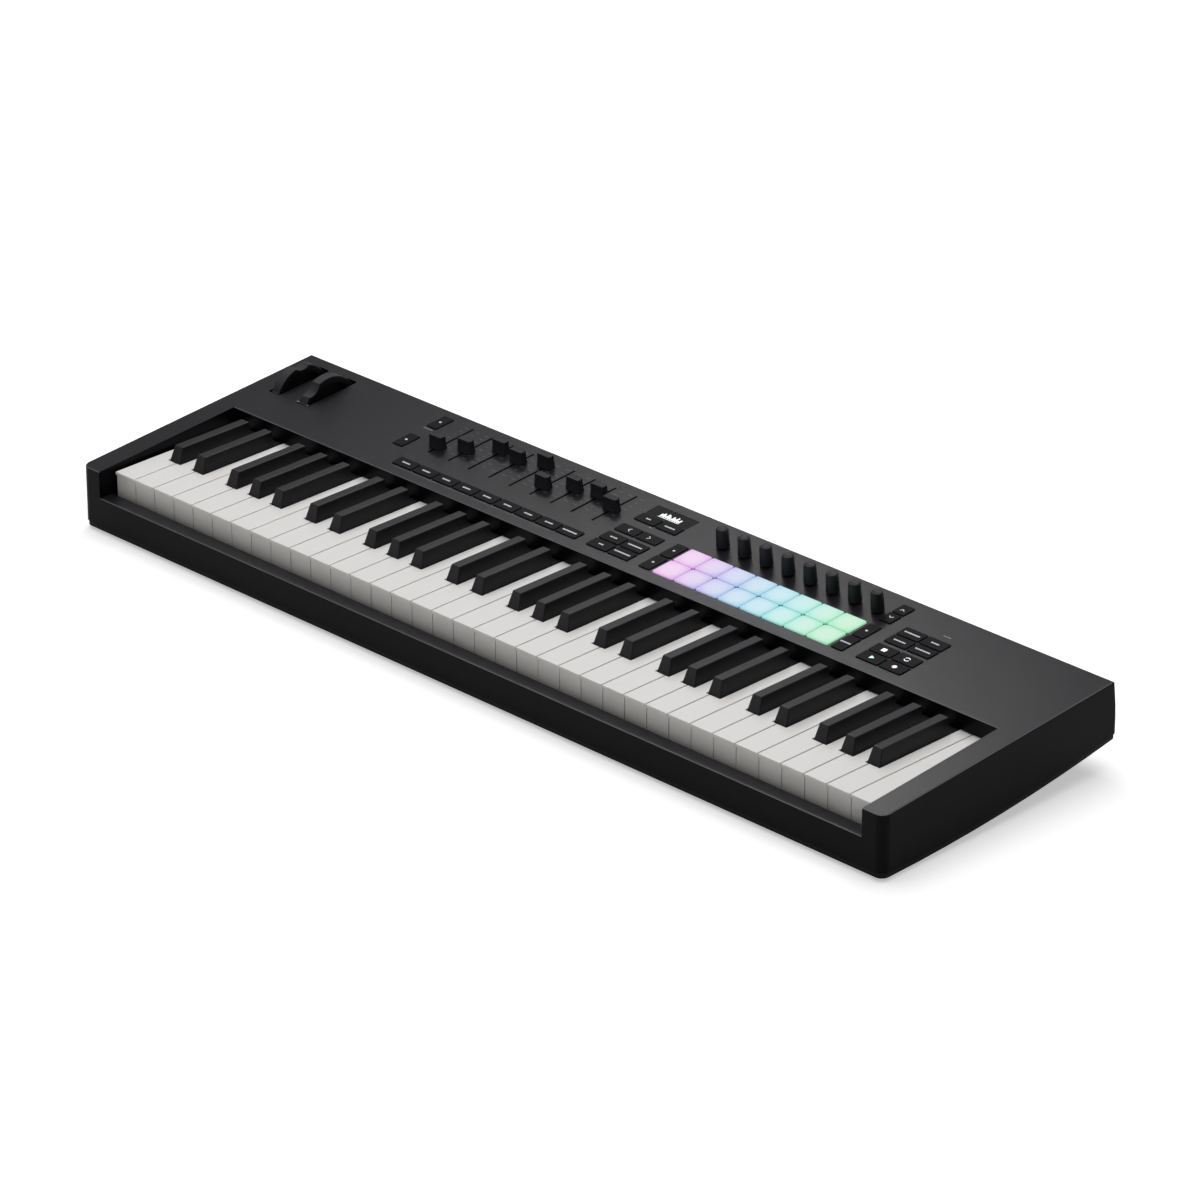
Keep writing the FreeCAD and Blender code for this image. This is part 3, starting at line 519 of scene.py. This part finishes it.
def knobShell(low, high):
    # a profile of radius and height carried round the axis; on the side, the radius falls by the
    # flute depth times the eighth power of a cosine of the turn, so narrow grooves stand between flat ribs
    plan = knobPlan
    radius, bottom, top = (high[0] - low[0]) / 2, low[2], high[2]
    bend = np.linspace(0, math.pi / 2, 7)
    rise = np.linspace(0, 1, 14)
    shoulder = plan["shoulder"]
    side = [(radius - 0.00035 * t + plan["baseFlare"] * (1 - t) ** 8 - plan["baseFlare"],
             bottom + t * (top - bottom - shoulder)) for t in rise]
    corner = [(radius - 0.00035 - plan["baseFlare"] - shoulder * (1 - math.cos(b)),
               top - shoulder + shoulder * math.sin(b)) for b in bend[1:]]
    inner = np.linspace(plan["dishRadius"], 0, 8)
    dish = [(r, top - plan["dish"] * (1 - (r / plan["dishRadius"]) ** 2)) for r in inner]
    foot = [(0.0, bottom + plan["boreTop"]), (plan["bore"], bottom + plan["boreTop"]), (plan["bore"], bottom)]
    profile = np.array(foot + side + corner + dish)
    grooved = np.zeros(len(profile))
    grooved[len(foot) + 1:len(foot) + len(side)] = 1.0
    turn = np.linspace(0, 2 * math.pi, plan["around"], endpoint=False)
    flute = (0.5 + 0.5 * np.cos(plan["flutes"] * turn)) ** 8
    reach = profile[:, :1] - plan["fluteDepth"] * grooved[:, None] * flute[None, :]
    centre = (low + high) / 2
    x = centre[0] + reach * np.cos(turn)
    y = centre[1] + reach * np.sin(turn)
    z = np.repeat(profile[:, 1:], len(turn), axis=1)
    return outOfPanel(np.stack([x, y, z], axis=-1))[None]


for number in range(1, 9):
    node = "knob_" + str(number)
    box = pieceBoxes(node)[0]
    knob = shellMesh("knob_grip_" + str(number), knobShell(*box), "knobRubber", bodyOf(node))
    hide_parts(node)
print("knobs made")


capPlan = {"around": 96, "waist": 0.00045, "grooveDepth": 0.0011, "grooveOffset": 0.0014,
           "grooveWidth": 0.00042, "dish": 0.0016, "squareness": 7.0, "topNarrow": (0.0004, 0.0010),
           "steps": 26, "edge": 0.0006}


def capShell(low, high):
    # at each height the outline is a rounded rectangle, a superellipse that narrows to the top and is
    # pinched at mid height; two upright grooves run down each end, and the top sinks along its middle
    plan = capPlan
    halfWidth, halfDepth = (high[0] - low[0]) / 2, (high[1] - low[1]) / 2
    bottom, top = low[2], high[2]
    turn = np.linspace(0, 2 * math.pi, plan["around"], endpoint=False)
    power = 2 / plan["squareness"]
    unitX = np.sign(np.cos(turn)) * np.abs(np.cos(turn)) ** power
    unitY = np.sign(np.sin(turn)) * np.abs(np.sin(turn)) ** power
    rise = np.concatenate([[0.0], np.linspace(0, 1, plan["steps"]), [1.0] * 9])
    share = np.concatenate([[0.0], np.ones(plan["steps"]), np.linspace(0.93, 0, 9)])
    rounding = plan["edge"] * np.clip((rise - 0.93) / 0.07, 0, 1) ** 2
    width = halfWidth - plan["topNarrow"][0] * rise - rounding
    depth = halfDepth - plan["topNarrow"][1] * rise - plan["waist"] * np.sin(math.pi * rise) - rounding
    x = (width * share)[:, None] * unitX
    y = (depth * share)[:, None] * unitY
    groove = np.exp(-((np.abs(y) - plan["grooveOffset"]) / plan["grooveWidth"]) ** 2)
    window = np.clip((rise - 0.04) / 0.06, 0, 1) * np.clip((0.985 - rise) / 0.04, 0, 1) * (share == 1.0)
    onEnd = np.clip((np.abs(unitX) - 0.93) / 0.05, 0, 1)[None, :]
    x = x - np.sign(x) * plan["grooveDepth"] * groove * window[:, None] * onEnd
    nearTop = np.clip((rise - 0.75) / 0.25, 0, 1)[:, None]
    sink = plan["dish"] * (1 - np.clip(np.abs(y) / halfDepth, 0, 1) ** 2) * nearTop ** 2
    z = bottom + rise[:, None] * (top - bottom) - sink
    centre = (low + high) / 2
    return outOfPanel(np.stack([centre[0] + x, centre[1] + y, z], axis=-1))[None]


capBottom = panelLevel + 0.0005
for number in range(1, 10):
    node = "fader_cap_" + str(number)
    low, high = pieceBoxes(node)[0]
    low = np.array([low[0], low[1], capBottom])
    cap = shellMesh("fader_grip_" + str(number), capShell(low, high), "capRubber", bodyOf(node),
                    40.0)
    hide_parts(node)
print("fader caps made")


film = 0.00006  # thickness of the ink, in metres
outlineSteps = 24


def markShell(x, y, level, halfWidth, halfDepth, turn=0.0, corners=0):
    # a flat film with a round-cornered outline: a superellipse, or a polygon whose radius at an angle is
    # the half angle's cosine over the cosine of the distance to the nearest side's middle
    angle = np.linspace(0, 2 * math.pi, outlineSteps, endpoint=False)
    if corners:
        wedge = 2 * math.pi / corners
        radius = math.cos(wedge / 2) / np.cos(np.mod(angle, wedge) - wedge / 2)
        outline = np.stack([radius * np.cos(angle) * halfWidth, radius * np.sin(angle) * halfDepth])
    else:
        power = 0.3 if abs(halfWidth - halfDepth) > 1e-5 else 1.0
        outline = np.stack([np.sign(np.cos(angle)) * np.abs(np.cos(angle)) ** power * halfWidth,
                            np.sign(np.sin(angle)) * np.abs(np.sin(angle)) ** power * halfDepth])
    c, s = math.cos(math.radians(turn)), math.sin(math.radians(turn))
    outline = np.array([(c, -s), (s, c)]) @ outline
    scale = np.array([0.0, 1.0, 1.0, 0.0])[:, None]
    height = np.array([0.0, 0.0, film, film])[:, None] + np.zeros(outlineSteps)
    return np.stack([x + scale * outline[0], y + scale * outline[1], level + height], axis=-1)


def word(x, y, level, half, tall=0.0008):  # a row of small bars of changing width, as a short label looks
    widths = [1.0, 0.62, 0.86, 1.1, 0.7, 0.94, 0.8, 1.04]
    letters = max(2, round(half / 0.00085))
    sizes = np.array([widths[i % len(widths)] for i in range(letters)])
    gap = 0.34
    unit = 2 * half / (sizes.sum() + gap * (letters - 1))
    starts = np.concatenate([[0.0], np.cumsum(sizes[:-1] + gap)]) * unit - half
    return [markShell(x + start + size * unit / 2, y, level, size * unit / 2, tall)
            for start, size in zip(starts, sizes)]


def chevron(x, y, level, size, turn):  # two short strokes that meet at a point
    shells = []
    for side in (-1, 1):
        angle = math.radians(turn + side * 45)
        shells.append(markShell(x - math.cos(angle) * size * 0.62, y - math.sin(angle) * size * 0.62, level,
                                size * 0.8, size * 0.17, turn + side * 45))
    return shells


def marks(name, shells, ink, body):
    return shellMesh(name, outOfPanel(np.array(shells)), ink, body)


def topLevel(boxes):
    return max(float(high[2]) for low, high in boxes)


labels = {  # half widths of each button's label, front row first and left to right, in metres
    "mode_buttons": [0.0024, 0.0084, 0.0036, 0.0073],
    "function_buttons": [0.0058, 0.0073, 0.0077, 0.0039],
    "screen_buttons": [0.0023, 0.0054],
    "fader_row_buttons": [0.0042] * 8 + [0.0076],
}
for node, halves in labels.items():
    boxes = pieceBoxes(node)
    shells = []
    for (x, y), half in zip(middles(boxes), halves):
        shells += word(x, y, topLevel(boxes), half)
    marks(node.replace("buttons", "labels"), shells, "whiteInk", bodyOf(node))

boxes = pieceBoxes("track_buttons")
level = topLevel(boxes)
shells = [s for (x, y), turn in zip(middles(boxes), (180, 0)) for s in chevron(x, y, level, 0.0022, turn)]
marks("track_arrows", shells, "whiteInk", bodyOf("track_buttons"))

boxes = pieceBoxes("pad_side_buttons")
level = topLevel(boxes)
(frontLeft, frontRight, backLeft, backRight) = middles(boxes)
shells = [markShell(x, y, level, 0.0011, 0.0011) for x, y in (frontLeft, backLeft, backRight)]
shells += word(*frontRight, level, 0.005)
marks("pad_side_labels", shells, "whiteInk", bodyOf("pad_side_buttons"))

boxes = sorted(pieceBoxes("bank_buttons"), key=lambda box: float(box[0][0]))
level = topLevel(boxes)
faderBank, encoderBank = middles(boxes[:2]), middles(boxes[2:])
shells = [markShell(x, y, level, 0.0011, 0.0011) for x, y in faderBank]
for (x, y), turn in zip(sorted(encoderBank, key=lambda p: p[1]), (-90, 90)):
    shells += chevron(x, y, level, 0.0021, turn)
marks("bank_labels", shells, "whiteInk", bodyOf("bank_buttons"))

boxes = pieceBoxes("transport_buttons")
level = topLevel(boxes)
play, record, stop, loop = middles(boxes)
transportBody = bodyOf("transport_buttons")
marks("play_mark", [markShell(*play, level, 0.0026, 0.0026, 0.0, 3)], "playLight", transportBody)
marks("stop_mark", [markShell(*stop, level, 0.0029, 0.0029, 45.0, 4)], "lampWhite", transportBody)
marks("record_mark", [markShell(*record, level, 0.0021, 0.0021)], "recordLight", transportBody)


def ringShell(x, y, level, outer, inner, start, sweep, wide=1.0):
    # a flat band between two arcs: from the inner to the outer edge, and back a film's height above
    turn = np.radians(start + sweep * np.linspace(0, 1, 24))
    middle, half = (outer + inner) / 2, (outer - inner) / 2
    section = np.linspace(0, 2 * math.pi, 8, endpoint=False)
    inside = np.where((turn == turn[0]) | (turn == turn[-1]), 0, 1)[:, None]  # the band closes at both ends
    radius = middle + half * np.cos(section)[None, :] * inside
    z = level + film * (0.5 + 0.5 * np.sin(section))[None, :] + np.zeros_like(radius)
    return np.stack([x + wide * radius * np.cos(turn)[:, None], y + radius * np.sin(turn)[:, None], z], axis=-1)


shells = [ringShell(*loop, level, 0.0027, 0.0020, start, 150.0) for start in (15.0, 195.0)]
marks("loop_mark", shells, "lampWhite", transportBody)
print("button labels made")

panelMarks = {  # x, reach from the panel's front edge, half width, all in metres
    "wheels": [(-0.4185, 0.0355, 0.0033), (-0.3852, 0.0356, 0.0068)],
    "faderBank": [(-0.2680, 0.0687, 0.0050)],
    "trackHint": [(-0.0017, 0.0599, 0.0016)],
    "functionHint": [(0.3027, 0.0750, 0.0036)],
}
caseCorners = np.array([v.co for v in cadNodes["top_case"].data.vertices])
nearTop = (caseCorners @ panelTurn[2] > panelLevel - 0.003) & (np.abs(caseCorners[:, 0]) < 0.42)
panelFront = float(caseCorners[nearTop, 1].min())


def onPanel(x, reach):  # a place given by its reach behind the panel's front edge, in the panel's own frame
    y = panelFront + reach
    z = (panelLevel - panelUp.y * y) / panelUp.z
    return inPanel(np.array([x, y, z]))[:2]


shells = []
for group in panelMarks.values():
    for x, reach, half in group:
        shells += word(*onPanel(x, reach), panelLevel, half, 0.0006)
marks("panel_labels", shells, "greyInk", "case")

rowPlan = {"labelReach": 0.0088, "lineReach": 0.0056, "half": 0.0034}
faderMiddles = [float(sum(box[i][0] for i in (0, 1)) / 2) for box in pieceBoxes("fader_row_buttons")]
shells = []
for number, x in enumerate(faderMiddles):
    half = rowPlan["half"] + 0.0006 * (number % 3)
    shells += word(*onPanel(x, rowPlan["labelReach"]), panelLevel, half, 0.00045)
for first, last in ((0, 3), (4, 7)):  # a bracket under each four buttons, broken by a short word
    left, right = faderMiddles[first] - 0.009, faderMiddles[last] + 0.009
    middle, gap = (left + right) / 2, 0.0095
    for start, end in ((left, middle - gap), (middle + gap, right)):
        place = onPanel((start + end) / 2, rowPlan["lineReach"])
        shells.append(markShell(*place, panelLevel, (end - start) / 2, 0.0002))
    shells += word(*onPanel(middle, rowPlan["lineReach"]), panelLevel, 0.0075, 0.00045)
marks("fader_row_legend", shells, "faintInk", "case")

tickPlan = {"rows": 7, "first": 0.0500, "pitch": 0.0065, "offset": 0.0066, "half": 0.0016, "thin": 0.00022}
shells = []
for x in faderMiddles:
    for row in range(tickPlan["rows"]):
        reach = tickPlan["first"] + row * tickPlan["pitch"]
        half = tickPlan["half"] * (1.5 if row in (0, 3, 6) else 1.0)
        for side in (-1, 1):
            place = onPanel(x + side * tickPlan["offset"], reach)
            shells.append(markShell(*place, panelLevel, half, tickPlan["thin"]))
marks("fader_scale", shells, "faintInk", "case")
print("panel marks made")

readPlan = {  # the screen's readout: a row of level bars over a thin base line
    "bars": 11, "width": 0.00075, "gap": 0.00125, "heights": [5, 7, 4, 8, 6, 3, 7, 5, 8, 4, 6],
    "unit": 0.00042, "base": 0.0037}
glass = pieceBoxes("screen")
glassTop = topLevel(glass)
glassLow = np.min([low for low, high in glass], axis=0)
glassHigh = np.max([high for low, high in glass], axis=0)
screenMiddle = (glassLow + glassHigh) / 2
shells = []
left = screenMiddle[0] - (readPlan["bars"] - 1) * (readPlan["width"] + readPlan["gap"]) / 2
for number, tall in enumerate(readPlan["heights"]):
    half = tall * readPlan["unit"]
    x = left + number * (readPlan["width"] + readPlan["gap"])
    shells.append(markShell(x, glassLow[1] + readPlan["base"] + half, glassTop, readPlan["width"], half))
shells.append(markShell(screenMiddle[0], glassLow[1] + readPlan["base"] - 0.0010, glassTop, 0.0115, 0.0003))
marks("screen_readout", shells, "screenLight", "case")
print("screen readout made")


def floorFinish():
    paint = Paint("studioFloor")
    speck = paint.noise(paint.place(), 40.0, 3.0)
    return paint.surface(Base_Color=paint.mixed(speck * 0.1, (0.9, 0.9, 0.9, 1.0), (0.86, 0.86, 0.86, 1.0)),
                         Roughness=1.0, Specular_IOR_Level=0.0, Emission_Color=(1.0, 1.0, 1.0, 1.0),
                         Emission_Strength=studio["floorGlow"] * paint.node("ShaderNodeLightPath"))


studio = {"world": 0.19, "floorGlow": 0.45, "floorHalf": 30.0,
          "lamps": [  # name, place, target, size across and up, radiance
              ("sheen", (-1.0, 0.98, 1.42), (-0.03, 0.07, 0.07), (0.5, 0.4), 6.5),
              ("overhead", (-0.3, 0.3, 3.0), (0.0, 0.0, 0.0), (3.6, 3.6), 1.9),
          ]}

world = bpy.data.worlds.new("studio")
world.use_nodes = True
tree = world.node_tree
tree.nodes.clear()
seen = tree.nodes.new("ShaderNodeLightPath")
strength = tree.nodes.new("ShaderNodeMapRange")
background = tree.nodes.new("ShaderNodeBackground")
out = tree.nodes.new("ShaderNodeOutputWorld")
strength.inputs["To Min"].default_value = studio["world"]
strength.inputs["To Max"].default_value = 1.0
tree.links.new(seen.outputs["Is Camera Ray"], strength.inputs["Value"])
tree.links.new(strength.outputs["Result"], background.inputs["Strength"])
tree.links.new(background.outputs["Background"], out.inputs["Surface"])
background.inputs["Color"].default_value = (1.0, 1.0, 1.0, 1.0)
bpy.context.scene.world = world

for name, place, target, (across, tall), radiance in studio["lamps"]:
    lamp = bpy.data.lights.new(name, "AREA")
    lamp.shape, lamp.size, lamp.size_y = "RECTANGLE", across, tall
    lamp.energy = radiance * math.pi * across * tall
    holder = bpy.data.objects.new(name, lamp)
    aim = (Vector(target) - Vector(place)).to_track_quat("-Z", "Y")
    holder.matrix_world = Matrix.Translation(place) @ aim.to_matrix().to_4x4()
    holder.visible_camera = False
    bpy.context.scene.collection.objects.link(holder)

half = studio["floorHalf"]
floorMesh = bpy.data.meshes.new("studio_floor")
corners = [(-half, -half, 0), (half, -half, 0), (half, half, 0), (-half, half, 0)]
floorMesh.from_pydata(corners, [], [(0, 1, 2, 3)])
floorMesh.materials.append(floorFinish())
floor = bpy.data.objects.new("studio_floor", floorMesh)
bpy.context.scene.collection.objects.link(floor)
print("studio lit")
